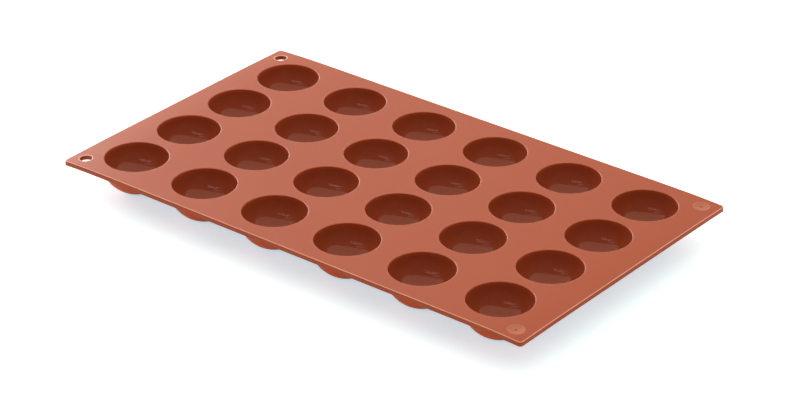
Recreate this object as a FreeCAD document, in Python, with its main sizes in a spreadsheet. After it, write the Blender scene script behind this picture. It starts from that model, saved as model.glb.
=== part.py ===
import FreeCAD, Part
import math
import os
import Sketcher

# Silicone baking mould with twenty-four hemispherical cavities, in millimetres.
#
# The mould is one moulding. A thin flat sheet carries a grid of round bowls
# that hang below it and are open at the top. Each bowl is a shell of even
# thickness whose mouth runs into the sheet over a small round, so that
# batter releases cleanly. Two round holes near one short side let the mould
# hang on pegs, and near the other short side two shallow dishes with a pin
# mark in the middle show where the rubber was injected.
#
# Frame: the origin is midway along both sides of the sheet, on the table that
# the bowls stand on. X runs along the long side, towards the gate dishes, and
# Z points up, out of the cavities.

# Driving dimensions: name, value, what it measures
SIZES = [
    ("sheet_thickness", 2.8, "thickness of the sheet between the bowls"),
    ("sheet_corner_radius", 2.0, "radius of the sheet's four corners seen from above"),
    ("top_edge_round", 0.5, "round along the sheet's upper edge"),
    ("bottom_edge_round", 0.4, "round along the sheet's lower edge"),
    ("column_count", 6, "cavities along X"),
    ("row_count", 4, "cavities along Y"),
    ("cavity_radius", 17.0, "radius of the hemisphere inside a bowl"),
    ("column_gap", 14.0, "clear width between neighbouring columns of cavities"),
    ("row_gap", 7.0, "clear width between neighbouring rows of cavities"),
    ("end_border", 13.0, "outermost cavities to a short side, with the grid in the middle"),
    ("side_border", 9.0, "outermost cavities to a long side"),
    ("grid_shift", -1.7, "the grid's centre along X, off the sheet's centre"),
    ("rim_round", 0.5, "round from a cavity's wall to the sheet's top"),
    ("bowl_wall", 2.5, "thickness of a bowl's shell"),
    ("root_round", 0.5, "inside corner between a bowl and the sheet's underside"),
    ("hole_radius", 3.3, "radius of a hanging hole"),
    ("hole_edge_round", 0.4, "round at both ends of a hanging hole"),
    ("hole_end_inset", 7.9, "hanging hole's centre to the sheet's short side"),
    ("hole_side_inset", 8.7, "hanging hole's centre to the sheet's long side"),
    ("gate_radius", 4.2, "radius of a gate dish at the sheet's top"),
    ("gate_depth", 0.5, "depth of a gate dish"),
    ("gate_end_inset", 8.9, "gate dish's centre to the sheet's short side"),
    ("gate_side_inset", 8.2, "gate dish's centre to the sheet's long side"),
    ("pin_radius", 0.45, "radius of the pin mark in a gate dish"),
    ("pin_depth", 0.6, "depth of the pin mark below the dish"),
]

size = {name: value for name, value, note in SIZES}

# Heights that follow from the driving dimensions, as formulas for expressions
TOP = "sizes.bowl_wall + sizes.cavity_radius + sizes.rim_round"
UNDERSIDE = TOP + " - sizes.sheet_thickness"
CENTRE = "sizes.bowl_wall + sizes.cavity_radius"

# The grid and the sheet follow the cavities: a gap between them, a border round them
COLUMN_PITCH = "(2 * sizes.cavity_radius + sizes.column_gap)"
ROW_PITCH = "(2 * sizes.cavity_radius + sizes.row_gap)"
GRID_END = f"((sizes.column_count - 1) * {COLUMN_PITCH} / 2)"
GRID_SIDE = f"((sizes.row_count - 1) * {ROW_PITCH} / 2)"
HALF_LONG = f"({GRID_END} + sizes.cavity_radius + sizes.end_border)"
HALF_WIDE = f"({GRID_SIDE} + sizes.cavity_radius + sizes.side_border)"

# The same lengths as numbers, to draw each sketch close to where it will lie
top = size["bowl_wall"] + size["cavity_radius"] + size["rim_round"]
underside = top - size["sheet_thickness"]
centre = size["bowl_wall"] + size["cavity_radius"]
column_pitch = 2 * size["cavity_radius"] + size["column_gap"]
row_pitch = 2 * size["cavity_radius"] + size["row_gap"]
grid_end = (size["column_count"] - 1) * column_pitch / 2
grid_side = (size["row_count"] - 1) * row_pitch / 2
half_long = grid_end + size["cavity_radius"] + size["end_border"]
half_wide = grid_side + size["cavity_radius"] + size["side_border"]

doc = FreeCAD.newDocument("hemisphere_mould")

sheet = doc.addObject("Spreadsheet::Sheet", "sizes")
for row, (name, value, note) in enumerate(SIZES, start=1):
    sheet.set(f"A{row}", name)
    sheet.set(f"B{row}", str(value))
    sheet.set(f"C{row}", note)
    sheet.setAlias(f"B{row}", name)
doc.recompute()

body = doc.addObject("PartDesign::Body", "mould")
body.Label = "mould"
origin = {feature.Role: feature for feature in body.Origin.OriginFeatures}


def point(x, y):
    """A point in a sketch's own plane."""
    return FreeCAD.Vector(x, y, 0)


def new_sketch(name, plane, offsets):
    """A sketch on one of the body's planes, moved off it by formulas along its own axes.

    A sketch on XZ_Plane has its own z axis along the body's -Y.
    """
    sketch = body.newObject("Sketcher::SketchObject", name)
    sketch.AttachmentSupport = [(origin[plane], "")]
    sketch.MapMode = "FlatFace"
    for axis, formula in offsets.items():
        sketch.setExpression(f"AttachmentOffset.Base.{axis}", formula)
    return sketch


def line(sketch, start, end):
    """Adds a straight edge and returns its number."""
    return sketch.addGeometry(Part.LineSegment(point(*start), point(*end)), False)


def arc(sketch, middle, radius, first, last):
    """Adds an arc, turning anticlockwise from one angle to another in degrees."""
    circle = Part.Circle(point(*middle), FreeCAD.Vector(0, 0, 1), radius)
    turned = Part.ArcOfCircle(circle, math.radians(first), math.radians(last))
    return sketch.addGeometry(turned, False)


# The numbers by which constraints name an edge's ends and middle, and a sketch's
# own two axes and origin
START, END, MIDDLE = range(1, 4)
LEVEL_AXIS, UPRIGHT_AXIS = range(-1, -3, -1)
ORIGIN = (LEVEL_AXIS, START)


def join(sketch, *pairs):
    """Makes ends of edges meet, each given as (edge, end)."""
    for one, other in pairs:
        sketch.addConstraint(Sketcher.Constraint("Coincident", *one, *other))


def smooth(sketch, *pairs):
    """Makes two edges meet end to end without a corner."""
    for one, other in pairs:
        sketch.addConstraint(Sketcher.Constraint("Tangent", *one, *other))


def level(sketch, *edges):
    """Keeps edges parallel to the sketch's x axis."""
    for edge in edges:
        sketch.addConstraint(Sketcher.Constraint("Horizontal", edge))


def upright(sketch, *edges):
    """Keeps edges parallel to the sketch's y axis."""
    for edge in edges:
        sketch.addConstraint(Sketcher.Constraint("Vertical", edge))


def on_axis(sketch, *ends):
    """Puts ends of edges on the sketch's upright axis, which profiles turn about."""
    for edge, end in ends:
        on_line = Sketcher.Constraint("PointOnObject", edge, end, UPRIGHT_AXIS)
        sketch.addConstraint(on_line)


def measure(sketch, kind, where, value, name, formula):
    """Adds a named dimension and ties it to the sheet."""
    number = sketch.addConstraint(Sketcher.Constraint(kind, *where, value))
    sketch.renameConstraint(number, name)
    sketch.setExpression(f"Constraints.{name}", formula)


def height(sketch, edge, end, value, name, formula):
    """Dimensions how high an end lies above the sketch's origin."""
    measure(sketch, "DistanceY", (*ORIGIN, edge, end), value, name, formula)


def reach(sketch, edge, end, value, name, formula):
    """Dimensions how far out an end lies from the sketch's origin."""
    measure(sketch, "DistanceX", (*ORIGIN, edge, end), value, name, formula)


def radius_of(sketch, edge, value, name, formula):
    """Dimensions an arc's radius."""
    measure(sketch, "Radius", (edge,), value, name, formula)


def turn(kind, name, sketch):
    """Turns a profile fully about its sketch's upright axis, to add or to cut."""
    feature = body.newObject(f"PartDesign::{kind}", name)
    feature.Profile = sketch
    feature.ReferenceAxis = (sketch, ["V_Axis"])
    feature.Angle = 360
    doc.recompute()
    body.Tip = feature
    return feature


def grid(name, feature):
    """Repeats a feature over every column and row."""
    steps = []
    for axis, way, count, pitch in (
        ("X_Axis", "columns", "sizes.column_count", COLUMN_PITCH),
        ("Y_Axis", "rows", "sizes.row_count", ROW_PITCH),
    ):
        step = doc.addObject("PartDesign::LinearPattern", f"{name}_{way}")
        step.Direction = (origin[axis], [""])
        step.setExpression("Occurrences", count)
        step.setExpression("Length", f"({count} - 1) * {pitch}")
        steps.append(step)
    pattern = body.newObject("PartDesign::MultiTransform", name)
    pattern.Originals = [feature]
    for step in steps:
        body.addObject(step)
    pattern.Transformations = steps
    doc.recompute()
    body.Tip = pattern
    return pattern


def mirror(name, feature):
    """Repeats a feature on the other side of the long centre line."""
    pattern = body.newObject("PartDesign::Mirrored", name)
    pattern.Originals = [feature]
    pattern.MirrorPlane = (origin["XZ_Plane"], [""])
    doc.recompute()
    body.Tip = pattern
    return pattern


def written(value):
    """A height in millimetres as text, so that two that are the same read the same."""
    return f"{value:.6f}"


def round_face(name, base, face_height, size_name):
    """Rounds every edge of the flat face that lies at a height."""
    flat = []
    for number, face in enumerate(base.Shape.Faces, start=1):
        ends = {written(face.BoundBox.ZMin), written(face.BoundBox.ZMax)}
        if ends == {written(face_height)}:
            flat.append(f"Face{number}")
    fillet = body.newObject("PartDesign::Fillet", name)
    fillet.Base = (base, flat)
    fillet.setExpression("Radius", f"sizes.{size_name}")
    doc.recompute()
    body.Tip = fillet
    return fillet


# The sheet: a rectangle with rounded corners, drawn at the underside and padded up
corner = size["sheet_corner_radius"]
outline = new_sketch("sheet_outline", "XY_Plane", {"z": UNDERSIDE})
straight_long = half_long - corner
straight_wide = half_wide - corner
front = line(outline, (-straight_long, -half_wide), (straight_long, -half_wide))
front_right = arc(outline, (straight_long, -straight_wide), corner, 270, 360)
right = line(outline, (half_long, -straight_wide), (half_long, straight_wide))
back_right = arc(outline, (straight_long, straight_wide), corner, 0, 90)
back = line(outline, (straight_long, half_wide), (-straight_long, half_wide))
back_left = arc(outline, (-straight_long, straight_wide), corner, 90, 180)
left = line(outline, (-half_long, straight_wide), (-half_long, -straight_wide))
front_left = arc(outline, (-straight_long, -straight_wide), corner, 180, 270)
around = [front, front_right, right, back_right, back, back_left, left, front_left]
for edge, following in zip(around, around[1:] + around[:1]):
    smooth(outline, ((edge, END), (following, START)))
level(outline, front, back)
upright(outline, right, left)
for other in (back_right, back_left, front_left):
    outline.addConstraint(Sketcher.Constraint("Equal", front_right, other))
radius_of(outline, front_right, corner, "corner", "sizes.sheet_corner_radius")
reach(outline, right, START, half_long, "right_side", HALF_LONG)
height(outline, back, START, half_wide, "back_side", HALF_WIDE)
outline.addConstraint(
    Sketcher.Constraint("Symmetric", front, START, back, START, *ORIGIN)
)

slab = body.newObject("PartDesign::Pad", "sheet_slab")
slab.Profile = outline
slab.setExpression("Length", "sizes.sheet_thickness")
doc.recompute()
body.Tip = slab

top_rounded = round_face("sheet_top_edge", slab, top, "top_edge_round")
round_face("sheet_bottom_edge", top_rounded, underside, "bottom_edge_round")

# The bowls stand on a grid, and every profile is drawn for its first column and row
FIRST_BOWL = {
    "x": f"sizes.grid_shift - {GRID_END}",
    "z": GRID_SIDE,
}

# A bowl's outside: a ball below the sheet, with a small round where it meets it
outside = size["cavity_radius"] + size["bowl_wall"]
root = size["root_round"]
root_drop = centre - (underside - root)
root_out = math.sqrt((outside + root) ** 2 - root_drop**2)
lean = math.degrees(math.atan2(-root_drop, root_out))
bowl_profile = new_sketch("bowl_profile", "XZ_Plane", FIRST_BOWL)
shell = arc(bowl_profile, (0, centre), outside, 270, 360 + lean)
fillet = arc(bowl_profile, (root_out, underside - root), root, 90, 180 + lean)
lid = line(bowl_profile, (root_out, underside), (0, underside))
axis = line(bowl_profile, (0, underside), (0, centre - outside))
join(bowl_profile, ((lid, END), (axis, START)), ((axis, END), (shell, START)))
join(bowl_profile, ((fillet, START), (lid, START)))
smooth(bowl_profile, ((shell, END), (fillet, END)))
level(bowl_profile, lid)
on_axis(bowl_profile, (shell, MIDDLE), (axis, START), (axis, END))
bowl_profile.addConstraint(
    Sketcher.Constraint("Vertical", fillet, START, fillet, MIDDLE)
)
OUTSIDE = "sizes.cavity_radius + sizes.bowl_wall"
height(bowl_profile, shell, MIDDLE, centre, "ball_centre", CENTRE)
height(bowl_profile, lid, START, underside, "underside", UNDERSIDE)
radius_of(bowl_profile, shell, outside, "outside", OUTSIDE)
radius_of(bowl_profile, fillet, root, "root", "sizes.root_round")
bowl = turn("Revolution", "bowl", bowl_profile)
grid("bowls", bowl)

# A cavity: a hemisphere whose wall runs out over the rim's round into the sheet's top
inside = size["cavity_radius"]
rim = size["rim_round"]
cavity_profile = new_sketch("cavity_profile", "XZ_Plane", FIRST_BOWL)
hollow = arc(cavity_profile, (0, centre), inside, 270, 360)
lip = arc(cavity_profile, (inside + rim, centre), rim, 90, 180)
mouth = line(cavity_profile, (inside + rim, top), (0, top))
axis = line(cavity_profile, (0, top), (0, centre - inside))
join(cavity_profile, ((mouth, END), (axis, START)), ((axis, END), (hollow, START)))
join(cavity_profile, ((lip, START), (mouth, START)))
smooth(cavity_profile, ((hollow, END), (lip, END)))
level(cavity_profile, mouth)
on_axis(cavity_profile, (hollow, MIDDLE), (axis, START), (axis, END))
cavity_profile.addConstraint(
    Sketcher.Constraint("Vertical", lip, START, lip, MIDDLE)
)
height(cavity_profile, hollow, MIDDLE, centre, "ball_centre", CENTRE)
height(cavity_profile, mouth, START, top, "sheet_top", TOP)
radius_of(cavity_profile, hollow, inside, "inside", "sizes.cavity_radius")
radius_of(cavity_profile, lip, rim, "rim", "sizes.rim_round")
cavity = turn("Groove", "cavity", cavity_profile)
grid("cavities", cavity)

# A hanging hole: straight through the sheet, with its edges rounded above and below
bore = size["hole_radius"]
bend = size["hole_edge_round"]
FRONT_HOLE = {
    "x": f"-({HALF_LONG} - sizes.hole_end_inset)",
    "z": f"{HALF_WIDE} - sizes.hole_side_inset",
}
hole_profile = new_sketch("hole_profile", "XZ_Plane", FRONT_HOLE)
upper = arc(hole_profile, (bore + bend, top - bend), bend, 90, 180)
wall = line(hole_profile, (bore, top - bend), (bore, underside + bend))
lower = arc(hole_profile, (bore + bend, underside + bend), bend, 180, 270)
floor = line(hole_profile, (bore + bend, underside), (0, underside))
axis = line(hole_profile, (0, underside), (0, top))
ceiling = line(hole_profile, (0, top), (bore + bend, top))
join(hole_profile, ((lower, END), (floor, START)), ((floor, END), (axis, START)))
join(hole_profile, ((axis, END), (ceiling, START)), ((ceiling, END), (upper, START)))
smooth(hole_profile, ((upper, END), (wall, START)), ((wall, END), (lower, START)))
level(hole_profile, floor, ceiling)
upright(hole_profile, wall)
on_axis(hole_profile, (axis, START), (axis, END))
for edge, end in ((upper, START), (lower, END)):
    hole_profile.addConstraint(
        Sketcher.Constraint("Vertical", edge, end, edge, MIDDLE)
    )
hole_profile.addConstraint(Sketcher.Constraint("Equal", upper, lower))
height(hole_profile, ceiling, START, top, "sheet_top", TOP)
height(hole_profile, floor, START, underside, "underside", UNDERSIDE)
reach(hole_profile, wall, START, bore, "bore", "sizes.hole_radius")
radius_of(hole_profile, upper, bend, "edge_round", "sizes.hole_edge_round")
hole = turn("Groove", "hanging_hole", hole_profile)
mirror("hanging_holes", hole)

# A gate dish: a shallow bowl pressed into the sheet's top, with a pin mark in it
wide = size["gate_radius"]
deep = size["gate_depth"]
pin = size["pin_radius"]
pin_end = deep + size["pin_depth"]
ball = (wide**2 + deep**2) / (2 * deep)
ball_centre = top - deep + ball
pin_top = ball_centre - math.sqrt(ball**2 - pin**2)
first_angle = math.degrees(math.atan2(pin_top - ball_centre, pin)) % 360
last_angle = math.degrees(math.atan2(top - ball_centre, wide)) % 360
FRONT_GATE = {
    "x": f"{HALF_LONG} - sizes.gate_end_inset",
    "z": f"{HALF_WIDE} - sizes.gate_side_inset",
}
gate_profile = new_sketch("gate_profile", "XZ_Plane", FRONT_GATE)
dish = arc(gate_profile, (0, ball_centre), ball, first_angle, last_angle)
ceiling = line(gate_profile, (wide, top), (0, top))
axis = line(gate_profile, (0, top), (0, top - pin_end))
pin_floor = line(gate_profile, (0, top - pin_end), (pin, top - pin_end))
pin_wall = line(gate_profile, (pin, top - pin_end), (pin, pin_top))
join(gate_profile, ((dish, END), (ceiling, START)), ((ceiling, END), (axis, START)))
join(gate_profile, ((axis, END), (pin_floor, START)))
join(gate_profile, ((pin_floor, END), (pin_wall, START)))
join(gate_profile, ((pin_wall, END), (dish, START)))
level(gate_profile, ceiling, pin_floor)
upright(gate_profile, pin_wall)
on_axis(gate_profile, (dish, MIDDLE), (axis, START), (axis, END))
BALL = "(sizes.gate_radius ^ 2 + sizes.gate_depth ^ 2) / (2 * sizes.gate_depth)"
PIN_FLOOR = TOP + " - sizes.gate_depth - sizes.pin_depth"
height(gate_profile, ceiling, START, top, "sheet_top", TOP)
height(gate_profile, pin_floor, START, top - pin_end, "pin_floor", PIN_FLOOR)
reach(gate_profile, dish, END, wide, "dish_edge", "sizes.gate_radius")
reach(gate_profile, pin_wall, START, pin, "pin_side", "sizes.pin_radius")
radius_of(gate_profile, dish, ball, "dish", BALL)
gate = turn("Groove", "gate_dish", gate_profile)
mirror("gate_dishes", gate)

doc.recompute()

# Nothing is written unless every object is sound and the mould is one closed solid
for thing in doc.Objects:
    if "Invalid" in thing.State or "Error" in thing.State:
        raise RuntimeError(f"{thing.Name} could not be made: {thing.State}")
shape = body.Shape
if shape.isNull() or not shape.isValid() or len(shape.Solids) != 1:
    raise RuntimeError("the mould is not one sound solid")
box = shape.optimalBoundingBox(False)
print(f"mould: {box.XLength:.3f} x {box.YLength:.3f} x {box.ZLength:.3f} mm")
print(f"volume {shape.Volume:.1f} mm3, faces {len(shape.Faces)}")

os.makedirs("parts", exist_ok=True)
shape.exportStep(f"parts/{body.Label}.step")
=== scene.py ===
# %% [markdown]
# # A silicone mould for half-round cakes
#
# The object is a flexible baking mould: a thin flat sheet with twenty-four bowls
# hanging below it. It was injected as one piece of silicone rubber, so it is one
# closed mesh here too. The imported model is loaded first, and it stays the frame
# that everything is set against: a size or a place in it is the same one here.

# %% Load the frame
import math

import bmesh
import bpy
from mathutils import Matrix, Vector


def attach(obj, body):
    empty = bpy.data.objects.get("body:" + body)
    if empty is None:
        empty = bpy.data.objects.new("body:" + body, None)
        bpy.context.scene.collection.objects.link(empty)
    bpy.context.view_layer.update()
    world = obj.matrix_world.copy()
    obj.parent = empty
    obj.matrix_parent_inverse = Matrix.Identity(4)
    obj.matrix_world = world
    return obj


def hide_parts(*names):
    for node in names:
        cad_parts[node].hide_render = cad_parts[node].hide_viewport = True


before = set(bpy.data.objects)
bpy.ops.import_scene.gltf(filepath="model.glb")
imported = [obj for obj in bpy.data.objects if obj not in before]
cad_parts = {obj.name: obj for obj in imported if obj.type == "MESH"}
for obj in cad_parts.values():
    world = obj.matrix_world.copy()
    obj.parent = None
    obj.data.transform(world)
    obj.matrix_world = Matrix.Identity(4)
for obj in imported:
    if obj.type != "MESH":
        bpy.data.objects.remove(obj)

MM = 0.001
scene = bpy.context.scene
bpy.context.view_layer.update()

# %% [markdown]
# ## Camera
#
# A product photographer stands well back with a long lens, so that the mould's
# sides stay almost parallel. The camera is made before anything else, because
# every later choice is judged through it. Its place comes from the four corners
# of the sheet and the rows of bowls, and it only needs to look at one point:
# `to_track_quat` turns that direction into a rotation with the horizon level.

# %% Camera
CAMERA_PLACE = Vector((870.54, -1080.39, 750.41)) * MM
CAMERA_TARGET = Vector((17.94, -15.79, 20.0)) * MM
LENS_MM = 136.74
SENSOR_MM = 36.0

view_line = CAMERA_TARGET - CAMERA_PLACE
lens = bpy.data.cameras.new("long_lens")
lens.lens = LENS_MM
lens.sensor_width = SENSOR_MM
camera = bpy.data.objects.new("long_lens", lens)
camera.location = CAMERA_PLACE
camera.rotation_euler = view_line.to_track_quat("-Z", "Y").to_euler()
scene.collection.objects.link(camera)
scene.camera = camera
print("camera distance in m:", round(view_line.length, 3))

# %% [markdown]
# ## Profiles that are turned
#
# Bowls, hanging holes and gate dishes are all round, so each is half a cross
# section turned about an upright axis, as a lathe would cut it in the steel
# mould. The cross section could be typed in point by point. It is drawn by
# spinning one vertex instead, because `spin` then works out every point of an
# arc from its centre and angle, and arcs that share a tangent meet smoothly.
# Everything is drawn in millimetres and made metres once, at the end.

# %% Drawing a profile
def draw_arc(shape, start, centre, degrees, steps):
    """Spins a vertex about a point of the XZ plane and returns the arc's last vertex."""
    made = bmesh.ops.spin(
        shape, geom=[start], cent=centre, axis=(0, 1, 0), dvec=(0, 0, 0),
        angle=math.radians(degrees), steps=steps, use_merge=False, use_duplicate=False,
    )
    return [part for part in made["geom_last"] if isinstance(part, bmesh.types.BMVert)][0]


def draw_line(shape, start, step):
    """Draws a straight edge from a vertex and returns its far vertex."""
    made = bmesh.ops.extrude_vert_indiv(shape, verts=[start])
    bmesh.ops.translate(shape, vec=step, verts=made["verts"])
    return made["verts"][0]


trial = bmesh.new()
trial_end = draw_arc(trial, trial.verts.new((0, 0, -1)), (0, 0, 0), -90, 4)
print("a quarter turn from (0, 0, -1) ends at", [round(part, 3) for part in trial_end.co])
trial.free()

# %% [markdown]
# ## Turning and finishing
#
# The mould will have six finishes, and each face carries the number of its own.
# The numbers are given while a surface is still by itself, when its parts are
# easy to tell apart by their height. A full turn ends where it began, and the
# points on the axis turn on the spot, so all the doubles are welded afterwards.

# %% Turning a profile
TURN_STEPS = 64
WELD_MM = 0.001
SATIN, POLISHED_PAINTED_SHADE, FROSTED_PAINTED_SHEEN, SHELL_PAINTED_GLOW, EDGE_PAINTED_HIGHLIGHT, RIM = range(6)


def turn_about_upright(shape, finish):
    """Turns all the edges drawn so far once round the Z axis, in one finish."""
    bmesh.ops.spin(
        shape, geom=shape.verts[:] + shape.edges[:], cent=(0, 0, 0), axis=(0, 0, 1),
        dvec=(0, 0, 0), angle=math.tau, steps=TURN_STEPS, use_merge=True, use_duplicate=False,
    )
    bmesh.ops.remove_doubles(shape, verts=shape.verts[:], dist=WELD_MM)
    for face in shape.faces:
        face.material_index = finish


def refinish(shape, low, high, finish):
    """Gives another finish to the faces whose middle lies between two heights."""
    for face in shape.faces:
        if low < face.calc_center_median().z < high:
            face.material_index = finish


print("a full turn has", TURN_STEPS, "steps of", 360 / TURN_STEPS, "degrees")

# %% [markdown]
# ## The inside of a bowl
#
# A bowl is two surfaces with an even wall between them: the cavity that shapes
# the cake, and the outside that hangs under the sheet. A UV sphere cut in half
# would put its rings in the wrong places for the rim, so each surface is its own
# profile. The cavity's wall is a quarter of a circle, and the rim is a small one
# that runs out flat into the sheet. The last short straight edge is a collar that
# lies in the sheet's plane: it holds the shading flat right up to the round, where
# it would smear otherwise. The cavity's colour is darker than the rubber's, as
# painted shade. The uppermost ring of the wall keeps the rim's finish in the
# rubber's plain colour, because the light reaches that far in.

# %% Cavity
CAVITY_RADIUS = 17.0
BOWL_WALL = 2.5
RIM_ROUND = 0.5
COLLAR = 0.3
LIT_DEPTH = 1.5
CAVITY_STEPS, RIM_STEPS = 18, 5

BALL_HEIGHT = BOWL_WALL + CAVITY_RADIUS
SHEET_TOP = BALL_HEIGHT + RIM_ROUND

cavity = bmesh.new()
cavity_bottom = cavity.verts.new((0, 0, BALL_HEIGHT - CAVITY_RADIUS))
wall_end = draw_arc(cavity, cavity_bottom, (0, 0, BALL_HEIGHT), -90, CAVITY_STEPS)
rim_centre = (CAVITY_RADIUS + RIM_ROUND, 0, BALL_HEIGHT)
rim_end = draw_arc(cavity, wall_end, rim_centre, 90, RIM_STEPS)
draw_line(cavity, rim_end, (COLLAR, 0, 0))
# The darker colour of the cavity's finish is painted shade; the top ring keeps the rubber's plain
# colour.
turn_about_upright(cavity, POLISHED_PAINTED_SHADE)
refinish(cavity, BALL_HEIGHT - LIT_DEPTH, math.inf, RIM)
print("cavity faces:", len(cavity.faces), "sheet's top at mm:", SHEET_TOP)

# %% [markdown]
# ## The outside of a bowl
#
# The outside is a ball with the same centre, a wall's thickness larger. It meets
# the sheet's underside before a quarter turn is over, and a small round fills the
# corner between them, because rubber tears at a sharp one. The round touches the
# ball and the underside, so its centre follows from the two radii: the distance
# between the centres is their sum, and Pythagoras gives how far out that lies.

# %% Outside
SHEET_THICKNESS = 2.8
ROOT_ROUND = 0.5
SHELL_STEPS, ROOT_STEPS = 16, 4

SHEET_UNDERSIDE = SHEET_TOP - SHEET_THICKNESS
OUTER_RADIUS = CAVITY_RADIUS + BOWL_WALL
root_height = SHEET_UNDERSIDE - ROOT_ROUND
root_drop = BALL_HEIGHT - root_height
root_reach = math.sqrt((OUTER_RADIUS + ROOT_ROUND) ** 2 - root_drop**2)
lean = math.degrees(math.atan2(root_drop, root_reach))

outside = bmesh.new()
outside_bottom = outside.verts.new((0, 0, BALL_HEIGHT - OUTER_RADIUS))
ball_end = draw_arc(outside, outside_bottom, (0, 0, BALL_HEIGHT), lean - 90, SHELL_STEPS)
root_end = draw_arc(outside, ball_end, (root_reach, 0, root_height), 90 - lean, ROOT_STEPS)
draw_line(outside, root_end, (COLLAR, 0, 0))
# The outside's brighter, redder colour is painted glow, on top of the light that soaks in.
turn_about_upright(outside, SHELL_PAINTED_GLOW)
print("outside faces:", len(outside.faces), "ball ends at degrees:", round(90 - lean, 2))

# %% [markdown]
# ## Hanging holes
#
# Two holes near one short side let the mould hang on pegs. A boolean cut would
# give the same shape, but it leaves long thin triangles beside the round edges,
# and those catch the light badly. So a hole is a turned profile again: a round
# and a collar above, a straight wall, and a round and a collar below.

# %% Hanging hole
HOLE_RADIUS = 3.3
HOLE_ROUND = 0.4
HOLE_STEPS = 5

hole = bmesh.new()
hole_reach = HOLE_RADIUS + HOLE_ROUND
hole_start = hole.verts.new((hole_reach + COLLAR, 0, SHEET_TOP))
collar_end = draw_line(hole, hole_start, (-COLLAR, 0, 0))
upper_centre = (hole_reach, 0, SHEET_TOP - HOLE_ROUND)
hole_wall = draw_arc(hole, collar_end, upper_centre, -90, HOLE_STEPS)
hole_foot = draw_line(hole, hole_wall, (0, 0, 2 * HOLE_ROUND - SHEET_THICKNESS))
lower_centre = (hole_reach, 0, SHEET_UNDERSIDE + HOLE_ROUND)
hole_under = draw_arc(hole, hole_foot, lower_centre, -90, HOLE_STEPS)
draw_line(hole, hole_under, (COLLAR, 0, 0))
# The hole's wall takes the darker colour as painted shade, its upper round a pale tone as painted
# highlight.
turn_about_upright(hole, POLISHED_PAINTED_SHADE)
refinish(hole, SHEET_TOP - HOLE_ROUND, math.inf, EDGE_PAINTED_HIGHLIGHT)
print("hole faces:", len(hole.faces))

# %% [markdown]
# ## Gate dishes
#
# Near the other short side, two shallow dishes mark where the rubber came in
# through the gates, each with a pin mark in its middle. A dish is a cap of a large
# ball, whose radius follows from the dish's width and depth. A narrow flat lip
# round it stays in the dish's frosted finish. The pin's pit is straight-sided.

# %% Gate dish
GATE_RADIUS = 4.2
GATE_DEPTH = 0.5
GATE_LIP = 0.12
PIN_RADIUS = 0.45
PIN_DEPTH = 0.6
GATE_STEPS = 8

gate_ball = (GATE_RADIUS**2 + GATE_DEPTH**2) / (2 * GATE_DEPTH)
gate_centre = (0, 0, SHEET_TOP - GATE_DEPTH + gate_ball)
edge_angle = math.degrees(math.asin(GATE_RADIUS / gate_ball))
pin_angle = math.degrees(math.asin(PIN_RADIUS / gate_ball))

gate = bmesh.new()
gate_start = gate.verts.new((GATE_RADIUS + COLLAR + GATE_LIP, 0, SHEET_TOP))
lip_start = draw_line(gate, gate_start, (-COLLAR, 0, 0))
dish_start = draw_line(gate, lip_start, (-GATE_LIP, 0, 0))
pin_top = draw_arc(gate, dish_start, gate_centre, edge_angle - pin_angle, GATE_STEPS)
pin_foot = draw_line(gate, pin_top, (0, 0, -PIN_DEPTH))
draw_line(gate, pin_foot, (-PIN_RADIUS, 0, 0))
# The dish's paler colour is painted sheen.
turn_about_upright(gate, FROSTED_PAINTED_SHEEN)
# The pin's pit takes the darker colour, as painted shade.
for face in gate.faces:
    if face.calc_center_median().xy.length < PIN_RADIUS + WELD_MM:
        face.material_index = POLISHED_PAINTED_SHADE
print("gate dish faces:", len(gate.faces), "ball radius in mm:", round(gate_ball, 2))

# %% [markdown]
# ## The sheet
#
# The sheet is a box whose upright corners are rounded first, then its top and
# bottom edges. The order matters: rounding all the edges at once would give every
# one of them the same radius. The sides are cut every 12 mm in between, so that
# the ends can droop in a curve later: a straight edge with no points along it
# can't bend.

# %% The sheet's block
SHEET_LENGTH = 300.0
SHEET_WIDTH = 175.0
CORNER_RADIUS = 2.0
CORNER_STEPS = 10
STATION = 12.0


def round_edges(shape, edges, radius, segments):
    """Rounds edges by a radius, with the same settings every time."""
    bmesh.ops.bevel(
        shape, geom=edges, offset=radius, offset_type="OFFSET", affect="EDGES",
        segments=segments, profile=0.5, material=-1, clamp_overlap=True,
    )


skin = bmesh.new()
bmesh.ops.create_cube(skin, size=1.0)
bmesh.ops.scale(skin, vec=(SHEET_LENGTH, SHEET_WIDTH, SHEET_THICKNESS), verts=skin.verts[:])
middle = (SHEET_TOP + SHEET_UNDERSIDE) / 2
bmesh.ops.translate(skin, vec=(0, 0, middle), verts=skin.verts[:])
upright = [e for e in skin.edges if abs(e.verts[0].co.z - e.verts[1].co.z) > WELD_MM]
round_edges(skin, upright, CORNER_RADIUS, CORNER_STEPS)
for direction, half in (((1, 0, 0), SHEET_LENGTH / 2), ((0, 1, 0), SHEET_WIDTH / 2)):
    steps = int((half - 2 * CORNER_RADIUS) / STATION)
    for step in range(-steps, steps + 1):
        bmesh.ops.bisect_plane(
            skin, geom=skin.verts[:] + skin.edges[:] + skin.faces[:],
            plane_co=Vector(direction) * step * STATION, plane_no=direction, dist=WELD_MM,
        )
print("block faces:", len(skin.faces))

# %% [markdown]
# ## The sheet's edges
#
# The cuts have left a grid on both flats, and only the outline may be rounded:
# its edges are those that also border the upright band. Only the upper half of the
# round at the top gets the pale finish, a painted highlight, which keeps that line
# thin. The flats are then inset by a collar and taken away, because the bowls,
# holes and dishes have to open through them.

# %% Round the outline and open the flats
TOP_EDGE_ROUND, TOP_EDGE_STEPS = 0.5, 6
BOTTOM_EDGE_ROUND, BOTTOM_EDGE_STEPS = 0.4, 4
HIGHLIGHT_PAINT_DEPTH = 0.25
STEEP = 0.5


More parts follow.
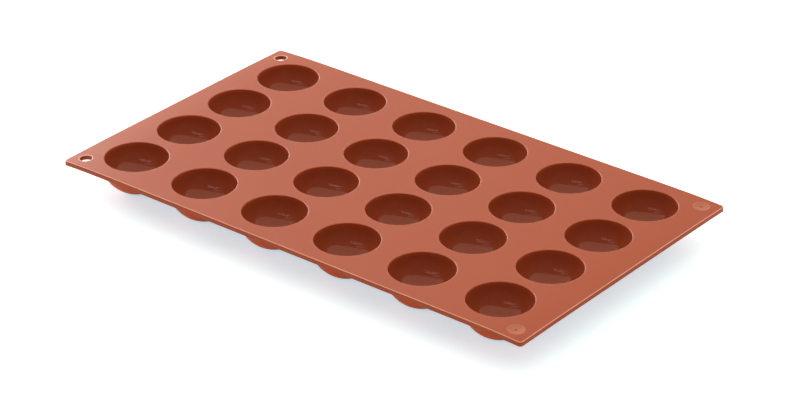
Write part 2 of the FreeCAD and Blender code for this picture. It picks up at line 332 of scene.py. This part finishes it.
def lies_at(edge, height):
    """True where both ends of an edge are at one height."""
    return all(abs(end.co.z - height) < WELD_MM for end in edge.verts)


def is_outline(edge):
    """True where an edge borders the upright band, not only a flat."""
    return any(abs(face.normal.z) < STEEP for face in edge.link_faces)


for height, radius, segments in (
    (SHEET_TOP, TOP_EDGE_ROUND, TOP_EDGE_STEPS),
    (SHEET_UNDERSIDE, BOTTOM_EDGE_ROUND, BOTTOM_EDGE_STEPS),
):
    skin.normal_update()
    outline = [e for e in skin.edges if lies_at(e, height) and is_outline(e)]
    round_edges(skin, outline, radius, segments)
    if height == SHEET_TOP:
        # The pale tone on the upper half of the top round is painted highlight.
        refinish(skin, SHEET_TOP - HIGHLIGHT_PAINT_DEPTH, SHEET_TOP - WELD_MM, EDGE_PAINTED_HIGHLIGHT)
    flat = [f for f in skin.faces if all(lies_at(e, height) for e in f.edges)]
    bmesh.ops.inset_region(skin, faces=flat, thickness=COLLAR, depth=0, use_even_offset=True)
    bmesh.ops.delete(skin, geom=flat, context="FACES")
print("faces of the band round the sheet:", len(skin.faces))

# %% [markdown]
# ## Everything in its place
#
# The four turned surfaces are copied to where they belong. The bowls stand on a
# grid that lies a little towards the hanging holes. The holes and the dishes come
# in pairs, one on each side of the long centre line. A copy goes through a mesh,
# because `from_mesh` adds to what a bmesh already holds.

# %% Set the surfaces in place
COLUMNS, ROWS = 6, 4
COLUMN_PITCH, ROW_PITCH = 48.0, 41.0
GRID_SHIFT = -1.7
HOLE_X, HOLE_Y = -142.1, 78.8
GATE_X, GATE_Y = 141.1, 79.3


def add_copies(surface, places):
    """Copies a surface into the skin at each place and lets the first one go."""
    loose = bpy.data.meshes.new("surface")
    surface.to_mesh(loose)
    surface.free()
    for x, y in places:
        before = set(skin.verts)
        skin.from_mesh(loose)
        added = [v for v in skin.verts if v not in before]
        bmesh.ops.translate(skin, vec=(x, y, 0), verts=added)
    bpy.data.meshes.remove(loose)


bowl_places = [
    (
        GRID_SHIFT + (column - (COLUMNS - 1) / 2) * COLUMN_PITCH,
        (row - (ROWS - 1) / 2) * ROW_PITCH,
    )
    for column in range(COLUMNS)
    for row in range(ROWS)
]
add_copies(cavity, bowl_places)
add_copies(outside, bowl_places)
add_copies(hole, [(HOLE_X, -HOLE_Y), (HOLE_X, HOLE_Y)])
add_copies(gate, [(GATE_X, -GATE_Y), (GATE_X, GATE_Y)])
print("bowls:", len(bowl_places), "faces in place:", len(skin.faces))

# %% [markdown]
# ## One closed mould
#
# The two flats are filled between the open edges. `triangle_fill` finds which
# open loops are holes by itself. The result has to be one closed skin, which is
# easy to prove: no edge may have a single face.

# %% Fill the flats
for height, facing in ((SHEET_TOP, 1), (SHEET_UNDERSIDE, -1)):
    rims = [e for e in skin.edges if e.is_boundary and lies_at(e, height)]
    bmesh.ops.triangle_fill(
        skin, edges=rims, use_beauty=True, use_dissolve=False, normal=(0, 0, facing)
    )
bmesh.ops.remove_doubles(skin, verts=skin.verts[:], dist=WELD_MM)
bmesh.ops.recalc_face_normals(skin, faces=skin.faces[:])
for face in skin.faces:
    face.smooth = True
open_edges = [e for e in skin.edges if not e.is_manifold]
print("open edges:", len(open_edges), "of", len(skin.edges))

# %% [markdown]
# ## Soft rubber
#
# Rubber is soft, so the short ends of the sheet droop by half a millimetre, and
# its free corners by a little more. A cloth simulation could find that, but so
# slight a bend is quicker to say as a rule: the droop is next to nothing over the
# bowls and grows towards the edge. It is also less the lower a point lies, so
# that the bowls still stand on the table.

# %% Let the ends droop
CORNER_SAG, CORNER_STRETCH = 0.4, 38.0
END_SAG, END_STRETCH = 0.5, 20.0


def nearness(distance, half, stretch):
    """How near an edge a point is, from 0 before the last stretch to 1 at the edge."""
    return max(0, abs(distance) - half + stretch) / stretch


for vertex in skin.verts:
    along = nearness(vertex.co.x, SHEET_LENGTH / 2, CORNER_STRETCH)
    aside = nearness(vertex.co.y, SHEET_WIDTH / 2, CORNER_STRETCH)
    end = nearness(vertex.co.x, SHEET_LENGTH / 2, END_STRETCH)
    droop = CORNER_SAG * (along * aside) ** 1.5 + END_SAG * end**2
    vertex.co.z -= droop * vertex.co.z / SHEET_TOP
print("volume in cm3:", round(skin.calc_volume() / 1000, 2))
bmesh.ops.scale(skin, vec=(MM, MM, MM), verts=skin.verts[:])

# %% [markdown]
# ## The object
#
# The skin becomes a mesh and the mesh an object, which stays at the origin,
# unturned and unscaled. Two calls say what it is in the frame: the CAD node that
# it stands for is hidden, and it moves with the root body. Its finishes are added
# further on.

# %% Make it an object
mould_mesh = bpy.data.meshes.new("silicone_mould")
skin.to_mesh(mould_mesh)
skin.free()
mould = bpy.data.objects.new("silicone_mould", mould_mesh)
scene.collection.objects.link(mould)
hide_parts("mould")
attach(mould, "root")
mould_mesh.calc_loop_triangles()
print("triangles:", len(mould_mesh.loop_triangles))

# %% [markdown]
# ## Grain of the rubber
#
# The rubber is terracotta, opaque and satin, and livelier than one flat colour:
# its pigment drifts slowly over the sheet, and the steel that moulded it left a
# fine grain. Every finish of the mould shares both, so they are one node group
# that gives a tone, a rub and a height. Two noises at very different scales are
# enough, and they read object coordinates, so the grain stays with the rubber.

# %% Shared grain of the rubber
DRIFT_SCALE, GRAIN_SCALE = 14.0, 900.0
GRAIN_SHARE = 0.25


def silicone_grain():
    """A node group: slow drift of the pigment and the fine grain of the moulded skin."""
    group = bpy.data.node_groups.new("silicone_grain", "ShaderNodeTree")
    sockets = group.interface
    for label, value in (("Drift Scale", DRIFT_SCALE), ("Grain Scale", GRAIN_SCALE)):
        socket = sockets.new_socket(label, in_out="INPUT", socket_type="NodeSocketFloat")
        socket.default_value = value
    for label in ("Tone", "Rub", "Height"):
        sockets.new_socket(label, in_out="OUTPUT", socket_type="NodeSocketFloat")
    nodes, links = group.nodes, group.links
    given = nodes.new("NodeGroupInput")
    result = nodes.new("NodeGroupOutput")
    place = nodes.new("ShaderNodeTexCoord")

    drift = nodes.new("ShaderNodeTexNoise")
    drift.inputs["Detail"].default_value = 3.0
    drift.inputs["Roughness"].default_value = 0.55
    grain = nodes.new("ShaderNodeTexNoise")
    grain.inputs["Detail"].default_value = 2.0
    blend = nodes.new("ShaderNodeMath")
    blend.operation = "MULTIPLY_ADD"
    blend.inputs[1].default_value = GRAIN_SHARE
    for noise, scale in ((drift, "Drift Scale"), (grain, "Grain Scale")):
        links.new(place.outputs["Object"], noise.inputs["Vector"])
        links.new(given.outputs[scale], noise.inputs["Scale"])
    links.new(grain.outputs["Fac"], blend.inputs[0])
    links.new(drift.outputs["Fac"], blend.inputs[2])
    links.new(blend.outputs[0], result.inputs["Tone"])
    links.new(drift.outputs["Fac"], result.inputs["Rub"])
    links.new(grain.outputs["Fac"], result.inputs["Height"])
    return group


GRAIN = silicone_grain()
print("sockets of the grain:", [item.name for item in GRAIN.interface.items_tree])

# %% [markdown]
# ## A finish
#
# Each finish is one Principled shader. Its colour runs between two close tones,
# its roughness between two values, and the grain lifts its skin by a height in
# metres. Silicone bends light a little less than glass does, with an index of
# 1.43. `glow` lets some of the light soak in and come out nearby, which thin
# rubber does, and red travels furthest. `shine` scales the mirror part only.

# %% One finish of the rubber
SILICONE_INDEX = 1.43
SOAK_MM = 4.0
SOAK_SHARES = (1.0, 0.10, 0.03)
RUB_LOW, RUB_HIGH = 0.35, 0.65


def silicone(name, tones, roughness, grain_height, glow=0.0, shine=0.5):
    """A rubber finish; tones are two linear colours, roughness a pair of values."""
    material = bpy.data.materials.new(name)
    material.use_nodes = True
    nodes, links = material.node_tree.nodes, material.node_tree.links
    rubber = nodes["Principled BSDF"]
    rubber.inputs["IOR"].default_value = SILICONE_INDEX
    rubber.inputs["Specular IOR Level"].default_value = shine
    rubber.inputs["Subsurface Weight"].default_value = glow
    rubber.inputs["Subsurface Radius"].default_value = SOAK_SHARES
    rubber.inputs["Subsurface Scale"].default_value = SOAK_MM * MM
    grain = nodes.new("ShaderNodeGroup")
    grain.node_tree = GRAIN

    tone = nodes.new("ShaderNodeMix")
    tone.data_type = "RGBA"
    tone.inputs["A"].default_value = (*tones[0], 1)
    tone.inputs["B"].default_value = (*tones[1], 1)
    rub = nodes.new("ShaderNodeMapRange")
    rub.inputs["From Min"].default_value = RUB_LOW
    rub.inputs["From Max"].default_value = RUB_HIGH
    rub.inputs["To Min"].default_value = roughness[0]
    rub.inputs["To Max"].default_value = roughness[1]
    skin_bump = nodes.new("ShaderNodeBump")
    skin_bump.inputs["Distance"].default_value = grain_height
    links.new(grain.outputs["Tone"], tone.inputs["Factor"])
    links.new(tone.outputs["Result"], rubber.inputs["Base Color"])
    links.new(grain.outputs["Rub"], rub.inputs["Value"])
    links.new(rub.outputs["Result"], rubber.inputs["Roughness"])
    links.new(grain.outputs["Height"], skin_bump.inputs["Height"])
    links.new(skin_bump.outputs["Normal"], rubber.inputs["Normal"])
    return material


print("light soaks in by mm:", [round(share * SOAK_MM, 2) for share in SOAK_SHARES])

# %% [markdown]
# ## Six finishes of one rubber
#
# It is all the same rubber, but steel that was ground, blasted or polished leaves
# a different skin, and thin places take in more light. The flats are satin. The
# bowls' insides are polished and darker, with painted shade, and so are the walls
# of the holes. The gate dishes are frosted, and their paler tone is painted sheen.
# The outsides of the bowls let in some of the light off the table, and their
# brighter, redder tone is painted glow. The sheet's top edge and the holes' edges
# draw a pale line, which is painted highlight. The bowls' rims are smooth and
# catch one narrow highlight.

# %% Finishes
TERRACOTTA = (0.44, 0.066, 0.016), (0.48, 0.076, 0.020)
# Darker tones: painted shade in the bowls, holes and pin pits.
HOLLOW_SHADE_TONES = (0.35, 0.063, 0.022), (0.38, 0.071, 0.027)
# Brighter, redder tones: painted glow on the bowls' outsides.
GLOW_PAINT_TONES = (0.62, 0.094, 0.010), (0.66, 0.104, 0.013)
# Paler tones: painted sheen in the gate dishes.
SHEEN_PAINT_TONES = (0.52, 0.135, 0.065), (0.57, 0.155, 0.08)
# Pale tones: painted highlight along the top edge and the holes' edges.
HIGHLIGHT_PAINT_TONES = (0.87, 0.36, 0.275), (0.91, 0.40, 0.305)
FINE_GRAIN = 0.00001
# Apart from the satin and the rims, each finish carries painted light in its colour: shade, sheen,
# glow or highlight.
finishes = {
    SATIN: silicone("satin_silicone", TERRACOTTA, (0.30, 0.36), 2 * FINE_GRAIN, shine=0.35),
    POLISHED_PAINTED_SHADE: silicone("polished_silicone_painted_shade", HOLLOW_SHADE_TONES, (0.04, 0.07), 0.2 * FINE_GRAIN, shine=0.4),
    FROSTED_PAINTED_SHEEN: silicone("frosted_silicone_painted_sheen", SHEEN_PAINT_TONES, (0.50, 0.60), 3 * FINE_GRAIN),
    SHELL_PAINTED_GLOW: silicone("shell_silicone_painted_glow", GLOW_PAINT_TONES, (0.30, 0.36), 2 * FINE_GRAIN, glow=0.5, shine=0.2),
    EDGE_PAINTED_HIGHLIGHT: silicone("edge_silicone_painted_highlight", HIGHLIGHT_PAINT_TONES, (0.22, 0.28), FINE_GRAIN),
    RIM: silicone("rim_silicone", TERRACOTTA, (0.20, 0.25), 0.4 * FINE_GRAIN, shine=0.6),
}
for place in sorted(finishes):
    mould_mesh.materials.append(finishes[place])
print("finishes:", [material.name for material in mould_mesh.materials])

# %% [markdown]
# ## Placing lights
#
# The photograph is a plain product shot: a white table that runs out of sight and
# one soft shadow. Lights are placed in the camera's own terms, as a photographer
# would say it: so far to the right, so far away, so high. A light's power says
# little about how bright its face looks in a gloss, so `soft_box` takes the
# radiance of the face instead. A face of radiance 1 sends out pi watts per square
# metre, whatever its size.

# %% Placing things round the mould
BACK = Vector((view_line.x, view_line.y, 0)).normalized()
RIGHT = BACK.cross(Vector((0, 0, 1)))


def studio_place(right, back, up):
    """A place in metres to the right of, behind and above the mould's middle."""
    return RIGHT * right + BACK * back + Vector((0, 0, up))


def soft_box(name, centre, aim, width, depth, radiance, across=RIGHT, shape="RECTANGLE"):
    """A light whose face shows one radiance; its width runs along a direction."""
    light = bpy.data.lights.new(name, "AREA")
    light.shape = shape
    light.size = width
    light.size_y = depth
    share = math.pi / 4 if shape == "ELLIPSE" else 1.0
    light.energy = math.pi * width * depth * share * radiance
    box = bpy.data.objects.new(name, light)
    away = (centre - aim).normalized()
    upward = away.cross(across).normalized()
    across = upward.cross(away)
    turn = [[across[i], upward[i], away[i]] for i in range(3)]
    box.matrix_world = Matrix.Translation(centre) @ Matrix(turn).to_4x4()
    box.visible_camera = False
    scene.collection.objects.link(box)
    return box


print("right of the camera:", [round(part, 3) for part in RIGHT])

# %% [markdown]
# ## Light from above
#
# A polished bowl is a small curved mirror that shows the whole ceiling. The pale
# patch low in every bowl is the reflection of one large light, and tracing its
# outline back through the mirror gives an ellipse above and behind the mould,
# turned by 39 degrees. Three narrow lamps in front of it draw the thin streaks
# beside the patch. Guessing the lights from the shadow alone would leave the
# bowls wrong, because they show far more of the room than the shadow does.

# %% Ceiling
CEILING_HEIGHT = 1.3


def overhead(name, right, back, turn, width, depth, radiance, shape="RECTANGLE"):
    """A light in the ceiling, turned by some degrees; its place is in ceiling heights."""
    turn = math.radians(turn)
    long_way = RIGHT * math.cos(turn) + BACK * math.sin(turn)
    centre = studio_place(right * CEILING_HEIGHT, back * CEILING_HEIGHT, CEILING_HEIGHT)
    below = centre - Vector((0, 0, 1))
    size = (width * CEILING_HEIGHT, depth * CEILING_HEIGHT)
    return soft_box(name, centre, below, *size, radiance, long_way, shape)


ceiling = overhead(
    "ceiling", right=-0.75, back=1.56, turn=-39,
    width=6.4, depth=3.67, radiance=0.9, shape="ELLIPSE",
)
ceiling.data.color = (1.0, 0.99, 0.82)
overhead("strip_near", right=-1.1, back=-1.2, turn=-26, width=1.8, depth=0.06, radiance=3.0)
overhead("strip_far", right=-0.83, back=-1.11, turn=-24, width=1.1, depth=0.08, radiance=3.0)
overhead("lamp_head", right=-1.24, back=-0.62, turn=-17, width=0.9, depth=0.12, radiance=1.2)
print("ceiling light in m:", [round(side, 2) for side in (ceiling.data.size, ceiling.data.size_y)])

# %% [markdown]
# ## Light from the sides
#
# The camera looks along the sheet at a shallow angle, so the flats show what
# stands behind the mould. A bright wall far to the left pales the left end, and
# a fainter piece beside it fades that out. The low sweep behind the left half
# gives the rims their highlight, and stops there, so that the right end stays
# deeper. A low light on the right reaches in under the left rims, and a faint
# card lying in front lights the undersides of the bowls.

# %% Walls and low lights
soft_box(
    "wall_far_left", studio_place(-1.15, 1.5, 0.75), studio_place(-1.15, 0, 0),
    width=1.6, depth=1.5, radiance=2.4,
)
soft_box(
    "wall_left", studio_place(-0.1, 1.5, 0.75), studio_place(-0.1, 0, 0),
    width=0.5, depth=1.5, radiance=0.2,
)
soft_box(
    "sweep", studio_place(-1.0, 1.45, 0.18), studio_place(-1.0, 0, 0.18),
    width=3.0, depth=0.36, radiance=1.5,
)
soft_box(
    "low_right", studio_place(1.5, 0.2, 0.14), studio_place(0, 0, 0.02),
    width=1.6, depth=0.26, radiance=2.5, across=BACK,
)
card_place = Vector((0.05, -0.465, 0.002))
soft_box(
    "front_card", card_place, card_place + Vector((0, 0, 1)),
    width=1.1, depth=0.8, radiance=0.18, across=Vector((1, 0, 0)),
)
print("lights:", sorted(light.name for light in bpy.data.lights))

# %% [markdown]
# ## The room
#
# The camera sees a white page where the table ends. The mould sees a dim grey
# room instead, because a white one would wash out the dark insides of the bowls.
# Light Path tells the two apart.

# %% The world
ROOM_GREY = (0.14, 0.14, 0.14, 1)
PAGE_WHITE = (1, 1, 1, 1)

world = bpy.data.worlds.new("studio")
world.use_nodes = True
scene.world = world
nodes, links = world.node_tree.nodes, world.node_tree.links
room = nodes["Background"]
room.inputs["Color"].default_value = ROOM_GREY
page = nodes.new("ShaderNodeBackground")
page.inputs["Color"].default_value = PAGE_WHITE
rays = nodes.new("ShaderNodeLightPath")
choose = nodes.new("ShaderNodeMixShader")
links.new(rays.outputs["Is Camera Ray"], choose.inputs["Fac"])
links.new(room.outputs[0], choose.inputs[1])
links.new(page.outputs[0], choose.inputs[2])
links.new(choose.outputs[0], nodes["World Output"].inputs["Surface"])
print("room level:", round(room.inputs["Color"].default_value[0], 2))

# %% [markdown]
# ## The table
#
# The table is white paper, a single large square with the rubber's own grain in
# its tone.

# %% Table
TABLE_SIDE = 12.0
PAPER_TONES = (0.89, 0.89, 0.89, 1), (0.91, 0.91, 0.91, 1)
PAPER_ROUGHNESS = 0.9

table_shape = bmesh.new()
bmesh.ops.create_grid(table_shape, x_segments=1, y_segments=1, size=TABLE_SIDE / 2)
table_mesh = bpy.data.meshes.new("table")
table_shape.to_mesh(table_mesh)
table_shape.free()
table = bpy.data.objects.new("table", table_mesh)
scene.collection.objects.link(table)

table_paint = bpy.data.materials.new("white_table")
table_paint.use_nodes = True
nodes, links = table_paint.node_tree.nodes, table_paint.node_tree.links
paper = nodes["Principled BSDF"]
paper.inputs["Roughness"].default_value = PAPER_ROUGHNESS
fibres = nodes.new("ShaderNodeGroup")
fibres.node_tree = GRAIN
paper_tone = nodes.new("ShaderNodeMix")
paper_tone.data_type = "RGBA"
paper_tone.inputs["A"].default_value = PAPER_TONES[0]
paper_tone.inputs["B"].default_value = PAPER_TONES[1]
links.new(fibres.outputs["Tone"], paper_tone.inputs["Factor"])
links.new(paper_tone.outputs["Result"], paper.inputs["Base Color"])
print("table corners in m:", [tuple(corner.co.xy) for corner in table_mesh.vertices])

# %% [markdown]
# ## A lift for the shadow
#
# Paper alone would show a much darker shadow than a bright studio table does, so
# a little light of the paper's own is added for the camera only. It lifts the
# shadow's core and lets its outer part run out into white. It is slightly blue,
# against the red that the mould throws on the paper.

# %% The table's lift for the camera
LIFT_COLOUR = (0.765, 0.96, 1.04, 1)
LIFT_LEVEL = 0.64

lift = nodes.new("ShaderNodeEmission")
lift.inputs["Color"].default_value = LIFT_COLOUR
rays = nodes.new("ShaderNodeLightPath")
shown = nodes.new("ShaderNodeMath")
shown.operation = "MULTIPLY"
shown.inputs[1].default_value = LIFT_LEVEL
both = nodes.new("ShaderNodeAddShader")
links.new(rays.outputs["Is Camera Ray"], shown.inputs[0])
links.new(shown.outputs[0], lift.inputs["Strength"])
links.new(paper.outputs[0], both.inputs[0])
links.new(lift.outputs[0], both.inputs[1])
links.new(both.outputs[0], nodes["Material Output"].inputs["Surface"])
table_mesh.materials.append(table_paint)
print("lift for the camera:", [round(part * LIFT_LEVEL, 2) for part in LIFT_COLOUR[:3]])

# %% [markdown]
# ## The view transform
#
# The renderer's own settings are left alone, apart from the plain view transform
# that keeps colours as they are written.

# %% Finish
scene.view_settings.view_transform = "Standard"
